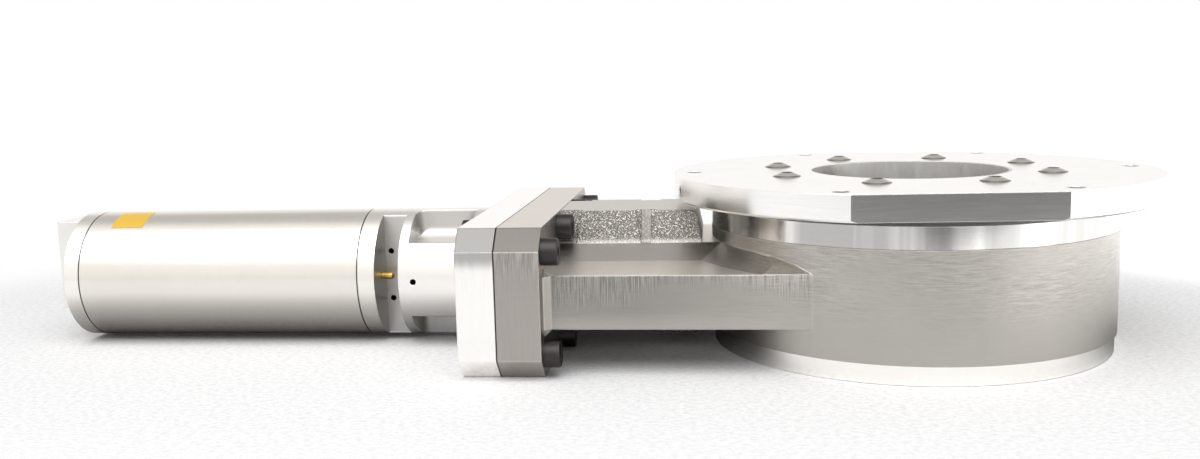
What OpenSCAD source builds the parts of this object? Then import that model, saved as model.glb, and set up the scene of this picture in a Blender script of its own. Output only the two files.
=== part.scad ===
// Gate valve with a pneumatic cylinder: a round port body, a flat neck that the gate parks in,
// a bonnet, a yoke and an air cylinder in line. Millimetres, Z up.
// Origin: the port axis, on the lower port face. The cylinder lies towards -X.

/* [Port] */
// Diameter of the clear port bore
port_d = 100; // [60:1:120]
// Outer diameter of the round port body
drum_d = 205.8; // [190:0.1:250]
// Height of the port body, face to face
drum_h = 72.6; // [66:0.1:96]
// Height of the machined ring on top of the port body
top_ring_h = 10.6; // [6:0.1:12]
// Height of the machined ring under the port body
low_ring_h = 9.3; // [6:0.1:10]
// Outer diameter of the lower ring
low_ring_d = 203.4; // [184:0.1:240]
// Pitch circle of the port screws under the adapter plate
port_screw_pcd = 142; // [140:1:168]
// Pitch circle of the tapped holes in the lower port face
low_screw_pcd = 156; // [136:1:176]
// Number of port screws, and of tapped holes below
port_screws = 8; // [4:1:12]
// Depth of the tapped holes in the lower port face
low_hole_depth = 8; // [5:0.5:8.5]

/* [Adapter plate] */
// Diameter of the round adapter plate
plate_d = 245; // [236:1:300]
// Thickness of the adapter plate
plate_t = 12.5; // [8:0.5:20]
// Distance from the port axis to each of the plate's two flats
plate_flat = 113.5; // [110:0.5:118]
// Angle that the plate is turned about the port axis
plate_turn = 1.7; // [-10:0.1:10]
// Direction of the hole in the plate's edge, about the port axis
edge_hole_angle = -166; // [-176:1:-140]
// Chamfer on the plate's lower edge
plate_chamfer = 1; // [0.5:0.1:2]
// Pitch circle of the plate's outer holes
rim_pcd = 224; // [200:1:228]
// Direction of the two outer holes away from the cylinder, from the +X axis
rim_right_angle = 60; // [50:1:70]
// Direction of the two outer holes on the cylinder's side, from the +X axis
rim_left_angle = 114; // [100:1:125]
// Diameter of the outer holes
rim_hole_d = 8; // [5:0.5:9]
// Diameter of the hole in the plate's edge
edge_hole_d = 4; // [2:0.5:6]
// Height of the spacer ring between the port body and the plate
spacer_h = 3.5; // [2:0.1:6]
// Inner diameter of the spacer ring
spacer_id = 126; // [122:1:130]
// Outer diameter of the spacer ring
spacer_od = 190; // [160:1:194]

/* [Neck] */
// Width of the neck across Y
neck_w = 172; // [164:1:190]
// Height of the neck at its long edges
neck_h = 26; // [24:0.5:34]
// How far the middle of the neck lies below the stem axis
neck_drop = 0.5; // [0:0.1:1.5]
// Thickness of the neck's side walls
neck_wall = 12; // [5:0.5:13]
// Height of the gate's slot
slot_h = 18; // [18:0.5:22]
// Half width of the raised middle of the neck at its foot
crown_foot = 45; // [40:1:60]
// Half width of the raised middle of the neck at its top
crown_half = 31; // [26:1:36]
// Height of the raised middle above the neck
crown_h = 7; // [4:0.5:8]
// Height of the cast pads above the raised middle
pad_h = 16; // [8:0.5:16]
// Height of the cast pad under the neck
low_pad_h = 9; // [4:0.5:12]
// Half width of the cast pads at their top
pad_half = 24; // [16:0.5:25]
// Length of the cast pad next to the flange
pad_long = 33.5; // [20:0.5:34]
// Length of the cast pad next to the port body
pad_short = 26.5; // [16:0.5:27]
// Width of the notch between the two pads
pad_notch = 5; // [3:0.5:6]
// Draft of the pads' end faces, as a horizontal run
pad_draft = 3; // [1:0.5:4]
// Gap between the pad and the port body
pad_gap = 5; // [3:0.5:8]
// Leg of the fillet where the neck meets its flange
cast_fillet = 3.5; // [1.5:0.5:4]
// Reach of the slope where the neck's top meets the port body
drum_flare = 14; // [6:1:18]

/* [Bonnet] */
// Width of the neck flange and the bonnet plate
bonnet_w = 196; // [190:1:230]
// Height of the neck flange and the bonnet plate
bonnet_h = 72; // [68:1:84]
// Thickness of the neck flange
flange_t = 21.3; // [16:0.1:24]
// Thickness of the bonnet plate
bonnet_t = 18.5; // [16:0.1:24]
// Chamfer on the bonnet's long edges
bonnet_chamfer = 10; // [6:0.5:11]
// Distance from the four corner bonnet screws to the bonnet's ends
bonnet_edge = 9.5; // [9:0.5:12]
// Distance from the corner bonnet screws to the stem axis, up and down
bonnet_row = 24.5; // [24:0.5:26]
// Distance from the four inner bonnet screws to the middle of the bonnet
bonnet_inner_y = 33; // [28:1:60]
// Distance from the inner bonnet screws to the stem axis, up and down
bonnet_inner_row = 28.5; // [24:0.5:29]
// Thread length of the bonnet screws in the bonnet plate
bonnet_grip = 14; // [10:0.5:15]

/* [Yoke] */
// Diameter of the yoke and the cylinder
round_d = 69.2; // [64:0.1:84]
// Length of the yoke
yoke_len = 58.7; // [48:0.1:72]
// Width of the slot next to the cylinder
yoke_slot = 13; // [10:0.5:16]
// Distance from the stem axis to the slot's floor
slot_floor = 11.5; // [11:0.5:20]
// Width of the full ring between the slot and the pockets
yoke_ring = 4.7; // [3:0.1:7]
// Half height of the straps left and right of the pockets
strap_half = 19.6; // [15:0.1:20]
// Half thickness of the web between the front and the back pockets
web_half = 4; // [3:0.5:6]
// Corner radius of the pockets
pocket_r = 6; // [2:0.5:7]
// Diameter of the vent holes in the yoke
vent_d = 3.2; // [2:0.1:4]
// Distance of the vent holes from the edge next to them
vent_inset = 3.3; // [2.5:0.1:5]
// Distance of the slot's two vent holes above and below the stem axis
vent_rise = 13; // [10:0.5:18]

/* [Cylinder] */
// Wall of the cylinder barrel
barrel_wall = 5.6; // [4:0.1:7]
// Thickness of the front head outside the barrel
head_t = 9.3; // [7:0.1:14]
// Thickness of the rear cap outside the barrel
cap_t = 8.5; // [8:0.1:14]
// Length of the front head's spigot in the barrel
head_spigot = 8; // [6:0.5:12]
// Length of the rear cap's spigot in the barrel
cap_spigot = 4; // [3:0.5:8]
// Free length at each end of the piston's travel
end_gap = 5.75; // [3:0.25:8]
// Length of the air port block along the cylinder
block_len = 14.5; // [12:0.5:20]
// Width of the air port block
block_w = 24; // [20:1:30]
// Top of the air port block above the stem axis
block_top = 30.8; // [26:0.1:32]
// Bottom of the air port block below the stem axis
block_low = 18; // [12:1:28]
// Diameter of the two air ports
air_port_d = 8.8; // [5:0.1:10]
// Depth of the two air ports
air_port_depth = 9; // [6:0.5:11]
// Length of the rating label along the cylinder
label_len = 18; // [12:0.5:30]
// Distance from the barrel's rear end to the label
label_start = 13; // [8:0.5:40]

/* [Moving parts] */
// Diameter of the stem
stem_d = 16; // [12:0.5:18]
// Thickness of the piston
piston_t = 16; // [12:0.5:24]
// Width of the gate's land outside the port bore
gate_land = 9; // [6:0.5:10]
// Thickness of the gate disc
gate_t = 6.5; // [5:0.1:7]
// Thickness of the counter disc
counter_t = 4.6; // [3:0.1:5]
// Thickness of the carriage plate between the discs
carriage_t = 3; // [2:0.1:3.5]
// Distance between the parked gate and the port bore
park_gap = 7; // [3:0.5:12]
// How far the gate lifts to close, and the counter disc drops
gate_lift = 1; // [0.5:0.1:1.2]
// Length of the carriage's stem block
arm_len = 24; // [18:0.5:30]
// Width of the carriage's stem block
arm_w = 44; // [30:1:60]

/* [Fits] */
// Radial clearance of a running fit
running = 0.08; // [0.03:0.01:0.1]
// Gap between parts that move past each other
moving_gap = 0.3; // [0.2:0.05:0.5]
// Radial clearance of a screw in its clearance hole
screw_clear = 0.4; // [0.2:0.05:0.6]
// Radial clearance of a screw in its tapped hole
thread_clear = 0.05; // [0.02:0.01:0.1]

/* [Hidden] */
$fn = 96;

cut = 1; // overshoot of a cutting shape past the face that it cuts
fuse = 0.01; // overlap that joins two shapes of one casting
hole_bottom = 1; // depth of a tapped hole past its screw
seal_gap = 0.1; // gap between a seal and the sides of its groove
axis_z = bonnet_h / 2; // stem axis

// Port and drum
port_r = port_d / 2;
drum_r = drum_d / 2;
body_z0 = low_ring_h;
body_z1 = drum_h - top_ring_h;
chamber_wall = 11;
port_seal_gap = 0.5;
chamber_r = drum_r - chamber_wall;
slot_z0 = axis_z - slot_h / 2;
slot_z1 = axis_z + slot_h / 2;
plate_z0 = drum_h + spacer_h;
plate_z1 = plate_z0 + plate_t;

// Screws: thread diameter, head diameter and head height
m8 = [8, 13, 8];
m8_button = [8, 14.4, 2.4];
m6 = [6, 10, 6];
m4 = [4, 7, 4];
socket_share = 0.713; // hexagon's corner width over the thread diameter
socket_depth = 0.5; // depth of the hexagon over the head height
adapter_screw_grip = 8;
adapter_screw_len = plate_t + spacer_h + adapter_screw_grip;
screw_turn = 22.5; // direction of the first port screw in the adapter plate
edge_hole_depth = 10;

// Gate and travel
gate_r = port_r + gate_land;
stroke = port_r + gate_r + park_gap;
seal_stand = 0.6; // how far the gate's seal stands above the gate
gate_z1 = slot_z1 - gate_lift - seal_stand - seal_gap;
gate_z0 = gate_z1 - gate_t;
carriage_z1 = gate_z0 - moving_gap;
carriage_z0 = carriage_z1 - carriage_t;
counter_z1 = carriage_z0 - moving_gap;
counter_z0 = counter_z1 - counter_t;
arm_gap = 1;
arm_x1 = -stroke - gate_r - arm_gap;
arm_x0 = arm_x1 - arm_len;
arm_half_h = slot_h / 2 - 1;
arm_end_gap = 3.5;

// Pads along the neck, from the port body to the bonnet screw heads
pad_x3 = -drum_r - pad_gap;
pad_x2 = pad_x3 - pad_short;
pad_x1 = pad_x2 - pad_notch;
pad_x0 = pad_x1 - pad_long;
pad_screw_gap = 1; // from the long pad to the bonnet screw heads

// Bonnet: behind both the parked gate's arm and the pads
seam_x = min(arm_x0 - arm_end_gap, pad_x0 - pad_screw_gap - m8[2] - flange_t);
flange_x1 = seam_x + flange_t;
bonnet_x0 = seam_x - bonnet_t;
neck_z = axis_z - neck_drop;
neck_top = neck_z + neck_h / 2;
neck_low = neck_z - neck_h / 2;
slot_half_w = neck_w / 2 - neck_wall;
bonnet_screw_y = bonnet_w / 2 - bonnet_edge;
seal_d = 4; // section of the bonnet's seal
seal_squash = 0.8;
seal_land = 4; // from the slot to the seal
gland_wall = 5;
gland_r = stem_d / 2 + gland_wall;
gland_inset = 1; // from the yoke's foot to the gland
gland_flange_t = 3;
gland_flange_r = gland_r + 2;
seal_rise = 1; // from the gland's flange to the seal

// Heights of the pads on the neck
pad_z0 = neck_top + crown_h;
pad_z1 = pad_z0 + pad_h;
// Outline of the slope beside the port body: share of the neck's half width, share of the slope's height
slope_shape = [[1, 0], [0.94, 0.5], [0.84, 0.86], [0.7, 1]];
core_inset = 4; // how far the smooth core stands back from the pads' sides
low_pad_z0 = neck_low - crown_h - low_pad_h;

// Yoke
stem_room = 1.5; // gap round the stem where nothing guides it
bushing_wall = 3;
slot_vent_depth = 5;
ring_vent_depth = 9;
round_r = round_d / 2;
yoke_x1 = bonnet_x0;
yoke_x0 = yoke_x1 - yoke_len;
ring_x0 = yoke_x0 + yoke_slot;
pocket_x0 = ring_x0 + yoke_ring;
yoke_bore_r = stem_d / 2 + stem_room;
yoke_screw_y = 15;
yoke_screw_gap = 0.5; // from the strap to the screw heads
yoke_screw_z = strap_half + m6[1] / 2 + yoke_screw_gap;
yoke_screw_grip = 12;
yoke_foot_t = 8; // foot that the yoke screws clamp

// Cylinder
bore_r = round_r - barrel_wall;
head_x1 = yoke_x0;
head_x0 = head_x1 - head_t;
barrel_len = cap_spigot + end_gap + piston_t + stroke + end_gap + head_spigot;
barrel_x1 = head_x0;
barrel_x0 = barrel_x1 - barrel_len;
cap_x0 = barrel_x0 - cap_t;
piston_x0 = barrel_x0 + cap_spigot + end_gap;
piston_x1 = piston_x0 + piston_t;
piston_r = bore_r - moving_gap;
spigot_r = bore_r - thread_clear;
bumper_t = 3;
bumper_inner_r = stem_d / 2 + stem_room;
bumper_wall = 6;
bumper_r = bumper_inner_r + bumper_wall;
bushing_r = stem_d / 2 + bushing_wall;
rod_seal_t = 4;
ring_groove = 4; // width of the piston's grooves
ring_depth = 3; // depth of the piston's grooves
neck_stem_r = stem_d / 2 - 2; // radius of the stem's turned ends
nut_r = 10;
nut_t = 6;
nut_room = 0.5; // gap round the nut
nut_sink = 1; // from the piston's face to its nut
ring_x_in = 2; // from the piston's faces to its grooves
stem_step = 0.5; // overlap of the stem with its turned ends
groove_w = 3; // width of the spigots' seal grooves
groove_deep = 2.4; // depth of the spigots' seal grooves
head_groove_x = 2; // from the spigot's end to its groove
cap_groove_x = 0.5; // from the barrel's end to the groove in the cap's spigot
flow_d = 3.6;
flow_len = 7;
flow_thread_r = flow_d / 2 - 0.5;
flow_stand = 0.3; // gap under the flow screw's head
flow_chamfer = 1;
flow_slot = 0.8;
flow_y = -(slot_floor + 8.5);
flow_z = axis_z + 1;
flow_hole_depth = 6;
block_x0 = cap_x0 - block_len;
block_screw_z = 4;
block_screw_inset = 5; // from the block's sides to its screws
block_screw_grip = 6;
air_port_mid = 6; // height of the middle between the two air ports, above the stem axis
air_port_step = 12.5; // distance of each air port from that middle
air_passage_r = 2;
label_t = 0.2;
label_low = 55; // lower edge of the label, degrees above the horizontal
label_span = 29; // width of the label, degrees round the barrel

// Carriage
pin_d = 8;
pin_pcd = 2 * (port_r - 16);
pin_turn = 45; // direction of the first guide pin
carriage_inset = 4; // how far the carriage plate stands back from the gate's rim
counter_inset = 2; // how far the counter disc stands back from the gate's rim
groove_rim = 3; // from the gate's rim to its seal groove
gate_groove_w = 4;
gate_groove_deep = 3;
pin_sink = 3; // depth of the gate's blind holes
pins = 4;
stem_tip = 12;

// Cylinder along +X from x0 to x1, on the stem axis
module rod_x(x0, x1, r) {
    translate([x0, 0, axis_z]) rotate([0, 90, 0]) cylinder(h = x1 - x0, r = r);
}

// Ring along +X on the stem axis
module ring_x(x0, x1, inner, outer) {
    difference() {
        rod_x(x0, x1, outer);
        rod_x(x0 - cut, x1 + cut, inner);
    }
}

// Ring about the port axis
module ring_z(z0, z1, inner, outer) {
    difference() {
        translate([0, 0, z0]) cylinder(h = z1 - z0, r = outer);
        translate([0, 0, z0 - cut]) cylinder(h = z1 - z0 + 2 * cut, r = inner);
    }
}

// Profile in the YZ plane, drawn out along +X from x0 to x1
module along_x(x0, x1) {
    translate([x0, 0, 0]) rotate([90, 0, 90]) linear_extrude(height = x1 - x0) children();
}

// Profile in the XZ plane, drawn out along Y over a full width
module across_y(w) {
    translate([0, w / 2, 0]) rotate([90, 0, 0]) linear_extrude(height = w) children();
}

// Copies on a circle about the port axis
module on_circle(pcd, count, start = 0) {
    for (i = [0:count - 1]) rotate([0, 0, start + i * 360 / count]) translate([pcd / 2, 0, 0]) children();
}

// Hexagon socket cut into a head whose top is at z = 0
module hex_socket(screw) {
    translate([0, 0, -screw[2] * socket_depth])
        cylinder(h = screw[2] * socket_depth + cut, r = screw[0] * socket_share / 2, $fn = 6);
}

// Socket head screw: the head stands on z = 0 and the shank hangs below
module cap_screw(screw, length) {
    chamfer = 0.5;
    difference() {
        union() {
            cylinder(h = screw[2] - chamfer, r = screw[1] / 2);
            translate([0, 0, screw[2] - chamfer])
                cylinder(h = chamfer, r1 = screw[1] / 2, r2 = screw[1] / 2 - chamfer);
            translate([0, 0, -length]) cylinder(h = length + chamfer, r = screw[0] / 2);
        }
        translate([0, 0, screw[2]]) hex_socket(screw);
    }
}

// Button head screw: a low domed head on z = 0
module button_screw(screw, length) {
    dome_r = (pow(screw[1] / 2, 2) + pow(screw[2], 2)) / (2 * screw[2]);
    difference() {
        union() {
            intersection() {
                translate([0, 0, screw[2] - dome_r]) sphere(r = dome_r);
                cylinder(h = screw[2], r = screw[1] / 2);
            }
            translate([0, 0, -length]) cylinder(h = length + cut, r = screw[0] / 2);
        }
        translate([0, 0, screw[2]]) hex_socket(screw);
    }
}

// Outline of the neck flange and the bonnet plate, in Y and Z
module bonnet_outline() {
    w = bonnet_w / 2;
    c = bonnet_chamfer;
    polygon([[-w, c], [-w + c, 0], [w - c, 0], [w, c],
             [w, bonnet_h - c], [w - c, bonnet_h], [-w + c, bonnet_h], [-w, bonnet_h - c]]);
}

// Copies at the bonnet screws, in a frame whose Z points to +X
module at_bonnet_screws(x) {
    corner = [bonnet_screw_y, bonnet_row];
    inner = [bonnet_inner_y, bonnet_inner_row];
    for (place = [corner, inner], side = [-1, 1], row = [-1, 1])
        translate([x, side * place[0], axis_z + row * place[1]]) rotate([0, 90, 0]) children();
}

// Copies at the yoke screws, in a frame whose Z points to -X
module at_yoke_screws(x) {
    for (side = [-1, 1], row = [-1, 1])
        translate([x, side * yoke_screw_y, axis_z + row * yoke_screw_z]) rotate([0, -90, 0]) children();
}

// Copies at the port block's screws, in a frame whose Z points to -X
module at_block_screws(x) {
    for (side = [-1, 1])
        translate([x, side * (block_w / 2 - block_screw_inset), axis_z + block_screw_z]) rotate([0,
                  -90, 0]) children();
}

// Profile of a raised middle, from its half width at the foot z0 to that at the top z1
module pad_section(foot, top, z0, z1) {
    polygon([[-foot, z0], [foot, z0], [top, z1], [-top, z1]]);
}

// Cast pad with drafted sides and ends
module cast_pad(x0, x1, z0, z1, inset = 0) {
    intersection() {
        along_x(x0 - cut, x1 + cut) pad_section(crown_half - inset, pad_half - inset, z0, z1);
        across_y(2 * (crown_half + cut))
            polygon([[x0, z0], [x1, z0], [x1 - pad_draft, z1], [x0 + pad_draft, z1]]);
    }
}

module neck_solid() {
    x1 = -port_r;
    translate([flange_x1, -neck_w / 2, neck_low]) cube([x1 - flange_x1, neck_w, neck_h]);
    along_x(flange_x1, x1) pad_section(crown_foot, crown_half, neck_top - fuse, pad_z0);
    mirror([0, 0, 1]) translate([0, 0, -2 * neck_z])
        along_x(flange_x1, x1) pad_section(crown_foot, crown_half, neck_top - fuse, pad_z0);
}

// Fillet between the neck and its flange
module flange_fillet() {
    f = cast_fillet;
    for (side = [0, 1]) mirror([0, side, 0]) translate([0, 0, neck_low])
        linear_extrude(height = neck_h)
            polygon([[flange_x1, neck_w / 2 - cut], [flange_x1, neck_w / 2 + f], [flange_x1 + f, neck_w / 2],
                     [flange_x1 + f, neck_w / 2 - cut]]);
    for (side = [0, 1]) translate([0, 0, side * 2 * neck_z]) mirror([0, 0, side])
        across_y(neck_w)
            polygon([[flange_x1, neck_top - cut], [flange_x1, neck_top + f], [flange_x1 + f, neck_top],
                     [flange_x1 + f, neck_top - cut]]);
}

// Slope between the neck's top and the port body, which falls away at the neck's long edges
module drum_slope() {
    top = pad_z0 - neck_top;
    w = neck_w / 2;
    intersection() {
        translate([0, 0, neck_top - fuse]) cylinder(h = top, r1 = drum_r + drum_flare, r2 = drum_r);
        along_x(-drum_r - drum_flare, -port_r)
            for (side = [-1, 1])
                polygon([[-side, neck_top - cut], [side * w, neck_top - cut],
                         for (p = slope_shape) [side * w * p[0], neck_top + top * p[1]],
                         [-side, neck_top + top]]);
    }
}

module valve_body() {
    color([0.72, 0.71, 0.68]) difference() {
        union() {
            translate([0, 0, body_z0]) cylinder(h = body_z1 - body_z0, r = drum_r, $fn = 180);
            neck_solid();
            flange_fillet();
            drum_slope();
            cast_pad(pad_x0, pad_x1, pad_z0 - fuse, pad_z1);
            cast_pad(pad_x2, pad_x3, pad_z0 - fuse, pad_z1);
            cast_pad(pad_x0, pad_x3, pad_z0 - fuse, pad_z1, core_inset);
            along_x(flange_x1, pad_x1)
                pad_section(crown_half - core_inset, pad_half - core_inset, pad_z0 - fuse, pad_z1);
            mirror([0, 0, 1]) cast_pad(pad_x2, pad_x3, -low_pad_z0 - low_pad_h - fuse, -low_pad_z0);
        }
        translate([0, 0, slot_z0]) cylinder(h = slot_h, r = chamber_r, $fn = 180);
        translate([flange_x1 - cut, -slot_half_w, slot_z0]) cube([-flange_x1 + cut,
                  2 * slot_half_w, slot_h]);
        translate([0, 0, body_z0 - cut]) cylinder(h = drum_h, r = port_r);
    }
}

module neck_flange() {
    color([0.74, 0.73, 0.70]) difference() {
        along_x(seam_x, flange_x1) bonnet_outline();
        translate([seam_x - cut, -slot_half_w, slot_z0]) cube([flange_t + 2 * cut, 2 * slot_half_w, slot_h]);
        at_bonnet_screws(seam_x - cut) cylinder(h = flange_t + 2 * cut, r = m8[0] / 2 + screw_clear);
    }
}

module top_port_ring() {
    color([0.82, 0.82, 0.81]) difference() {
        ring_z(body_z1, drum_h, port_r, drum_r, $fn = 180);
        translate([0, 0, plate_z1 - adapter_screw_len - hole_bottom])
            on_circle(port_screw_pcd, port_screws, plate_turn + screw_turn)
                cylinder(h = drum_h, r = m8[0] / 2 + thread_clear);
    }
}

module lower_port_ring() {
    color([0.82, 0.82, 0.81]) difference() {
        cylinder(h = low_ring_h, r = low_ring_d / 2, $fn = 180);
        translate([0, 0, -cut]) cylinder(h = low_ring_h + 2 * cut, r = port_r);
        translate([0, 0, -cut]) on_circle(low_screw_pcd, port_screws)
            cylinder(h = low_hole_depth + cut, r = m8[0] / 2);
    }
}

module spacer_ring() {
    color([0.55, 0.55, 0.55]) difference() {
        ring_z(drum_h, plate_z0, spacer_id / 2, spacer_od / 2);
        translate([0, 0, drum_h - cut]) on_circle(port_screw_pcd, port_screws, plate_turn + screw_turn)
            cylinder(h = spacer_h + 2 * cut, r = m8[0] / 2 + screw_clear);
    }
}

module port_seal() {
    land = spacer_id / 2 - port_r;
    color([0.1, 0.1, 0.1]) ring_z(drum_h, plate_z0, port_r + land / 2, spacer_id / 2 - port_seal_gap);
}

module adapter_plate() {
    side = plate_d + 2 * cut;
    color([0.86, 0.86, 0.86]) rotate([0, 0, plate_turn]) difference() {
        intersection() {
            union() {
                translate([0, 0, plate_z0])
                    cylinder(h = plate_chamfer, r1 = plate_d / 2 - plate_chamfer, r2 = plate_d / 2,
                             $fn = 180);
                translate([0, 0, plate_z0 + plate_chamfer])
                    cylinder(h = plate_t - plate_chamfer, r = plate_d / 2, $fn = 180);
            }
            translate([-side / 2, -plate_flat, plate_z0 - cut]) cube([side, 2 * plate_flat,
                      plate_t + 2 * cut]);
        }
        translate([0, 0, plate_z0 - cut]) {
            cylinder(h = plate_t + 2 * cut, r = port_r);
            on_circle(port_screw_pcd, port_screws, screw_turn)
                cylinder(h = plate_t + 2 * cut, r = m8[0] / 2 + screw_clear);
            for (angle = [0, rim_right_angle, rim_left_angle, 180, -rim_left_angle, -rim_right_angle])
                rotate([0, 0, angle - plate_turn]) translate([rim_pcd / 2, 0, 0])
                    cylinder(h = plate_t + 2 * cut, r = rim_hole_d / 2);
        }
        translate([0, 0, (plate_z0 + plate_z1) / 2]) rotate([0, 90, edge_hole_angle - plate_turn])
            translate([0, 0, plate_d / 2 - edge_hole_depth])
                cylinder(h = 2 * edge_hole_depth, r = edge_hole_d / 2);
    }
}

module adapter_screws() {
    color([0.75, 0.74, 0.72])
        translate([0, 0, plate_z1]) on_circle(port_screw_pcd, port_screws, plate_turn + screw_turn)
        button_screw(m8_button, adapter_screw_len);
}

// Ring of the bonnet's seal, in Y and Z
module seal_outline(grow) {
    y = slot_half_w + seal_land + grow;
    z = gland_flange_r + seal_rise + grow;
    translate([-y, axis_z - z]) square([2 * y, 2 * z]);
}

module bonnet_seal() {
    color([0.1, 0.1, 0.1]) difference() {
        along_x(seam_x - seal_d * seal_squash + seal_gap, seam_x) seal_outline(seal_d);
        along_x(seam_x - seal_d, seam_x + cut) seal_outline(0);
    }
}

module bonnet_plate() {
    color([0.84, 0.84, 0.83]) difference() {
        along_x(bonnet_x0, seam_x) bonnet_outline();
        difference() {
            along_x(seam_x - seal_d * seal_squash, seam_x + cut) seal_outline(seal_d + seal_gap);
            along_x(seam_x - seal_d, seam_x + 2 * cut) seal_outline(-seal_gap);
        }
        rod_x(bonnet_x0 - cut, seam_x + cut, gland_r + thread_clear);
        rod_x(seam_x - gland_flange_t, seam_x + cut, gland_flange_r + thread_clear);
        at_bonnet_screws(seam_x - bonnet_grip - hole_bottom)
            cylinder(h = bonnet_grip + hole_bottom + cut, r = m8[0] / 2 + thread_clear);
        at_yoke_screws(bonnet_x0 + yoke_screw_grip + hole_bottom)
            cylinder(h = yoke_screw_grip + hole_bottom + cut, r = m6[0] / 2 + thread_clear);
    }
}

module bonnet_screws() {
    color([0.12, 0.12, 0.13]) at_bonnet_screws(flange_x1) cap_screw(m8, flange_t + bonnet_grip);
}

module stem_gland() {
    color([0.72, 0.55, 0.3]) difference() {
        union() {
            rod_x(bonnet_x0 + gland_inset, seam_x, gland_r);
            rod_x(seam_x - gland_flange_t, seam_x, gland_flange_r);
        }
        rod_x(bonnet_x0, seam_x + cut, stem_d / 2 + running);
        rod_x(bonnet_x0, bonnet_x0 + gland_inset + rod_seal_t, bushing_r + seal_gap);
    }
}

module gland_seal() {
    x0 = bonnet_x0 + gland_inset;
    color([0.1, 0.1, 0.1]) ring_x(x0, x0 + rod_seal_t - seal_gap, stem_d / 2 + running, bushing_r);
}

// Rectangle from the origin with a round corner there
module corner_outline(w, h) {
    translate([pocket_r, 0]) square([w - pocket_r, h]);
    translate([0, pocket_r]) square([w, h - pocket_r]);
    translate([pocket_r, pocket_r]) circle(r = pocket_r);
}

// Box of one yoke pocket on the +Y, +Z side, open at the top and the side, with round corners
module pocket() {
    reach = round_r + 2 * cut;
    length = yoke_x1 - yoke_foot_t - pocket_x0;
    translate([pocket_x0, web_half, axis_z + strap_half]) intersection() {
        linear_extrude(height = reach) corner_outline(length, reach);
        along_x(0, length) corner_outline(reach, reach);
    }
}

module yoke() {
    color([0.8, 0.8, 0.79]) difference() {
        rod_x(yoke_x0, yoke_x1, round_r);
        rod_x(yoke_x0 - cut, yoke_x1 + cut, yoke_bore_r);
        for (side = [0, 1]) mirror([0, side, 0]) {
            translate([yoke_x0 - cut, slot_floor, -cut]) cube([yoke_slot + cut, round_r,
                      bonnet_h + 2 * cut]);
            for (flip = [0, 1]) translate([0, 0, flip * 2 * axis_z]) mirror([0, 0, flip]) pocket();
        }
        at_yoke_screws(yoke_x1 + cut) cylinder(h = yoke_foot_t + 2 * cut, r = m6[0] / 2 + screw_clear);
        for (z = [-1, 1]) translate([yoke_x0 + vent_inset, -slot_floor, axis_z + z * vent_rise])
            rotate([90, 0, 0]) translate([0, 0, -slot_vent_depth])
                cylinder(h = slot_vent_depth + cut, r = vent_d / 2);
        translate([pocket_x0 + vent_inset, -round_r, axis_z])
            rotate([90, 0, 0]) translate([0, 0, -ring_vent_depth])
                cylinder(h = ring_vent_depth + cut, r = vent_d / 2);
    }
}

module yoke_screws() {
    color([0.12, 0.12, 0.13])
        at_yoke_screws(yoke_x1 - yoke_foot_t) cap_screw(m6, yoke_foot_t + yoke_screw_grip);
}

module front_head() {
    groove_x = head_x0 - head_spigot + head_groove_x;
    color([0.8, 0.8, 0.79]) difference() {
        union() {
            rod_x(head_x0, head_x1, round_r);
            rod_x(head_x0 - head_spigot, head_x0, spigot_r);
        }
        rod_x(head_x0 - head_spigot - cut, head_x1 + cut, bushing_r + thread_clear);
        ring_x(groove_x, groove_x + groove_w, bore_r - groove_deep, bore_r + cut);
        translate([head_x1, flow_y, flow_z]) rotate([0, -90, 0])
            translate([0, 0, -cut]) cylinder(h = flow_hole_depth + cut, r = flow_thread_r + running);
    }
}

module head_bushing() {
    x0 = head_x0 - head_spigot + rod_seal_t;
    color([0.72, 0.55, 0.3]) ring_x(x0, head_x1, stem_d / 2 + running, bushing_r);
}

module rod_seal() {
    x0 = head_x0 - head_spigot;
    color([0.1, 0.1, 0.1]) ring_x(x0, x0 + rod_seal_t - seal_gap, stem_d / 2 + running, bushing_r);
}

module head_seal() {
    x0 = head_x0 - head_spigot + head_groove_x;
    color([0.1, 0.1, 0.1])
        ring_x(x0 + seal_gap, x0 + groove_w - seal_gap, bore_r - groove_deep + seal_gap,
               bore_r - thread_clear);
}

module front_bumper() {
    x1 = head_x0 - head_spigot;
    color([0.15, 0.15, 0.16]) ring_x(x1 - bumper_t, x1, bumper_inner_r, bumper_r);
}

module barrel() {
    color([0.68, 0.66, 0.62]) ring_x(barrel_x0, barrel_x1, bore_r, round_r);
}

module rear_cap() {
    groove_x = barrel_x0 + cap_groove_x;
    color([0.78, 0.78, 0.77]) difference() {
        union() {
            rod_x(cap_x0, barrel_x0, round_r);
            rod_x(barrel_x0, barrel_x0 + cap_spigot, spigot_r);
        }
        ring_x(groove_x, groove_x + groove_w, bore_r - groove_deep, bore_r + cut);
        at_block_screws(cap_x0 + block_screw_grip + hole_bottom)
            cylinder(h = block_screw_grip + hole_bottom + cut, r = m4[0] / 2 + thread_clear);
        translate([cap_x0 - cut, 0, axis_z + air_port_mid + air_port_step]) rotate([0, 90, 0])
            cylinder(h = cap_t + cap_spigot + 2 * cut, r = air_passage_r);
    }
}

module cap_seal() {
    x0 = barrel_x0 + cap_groove_x;
    color([0.1, 0.1, 0.1])
        ring_x(x0 + seal_gap, x0 + groove_w - seal_gap, bore_r - groove_deep + seal_gap,
               bore_r - thread_clear);
}

module rear_bumper() {
    x0 = barrel_x0 + cap_spigot;
    color([0.15, 0.15, 0.16]) ring_x(x0, x0 + bumper_t, bumper_inner_r, bumper_r);
}

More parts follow.
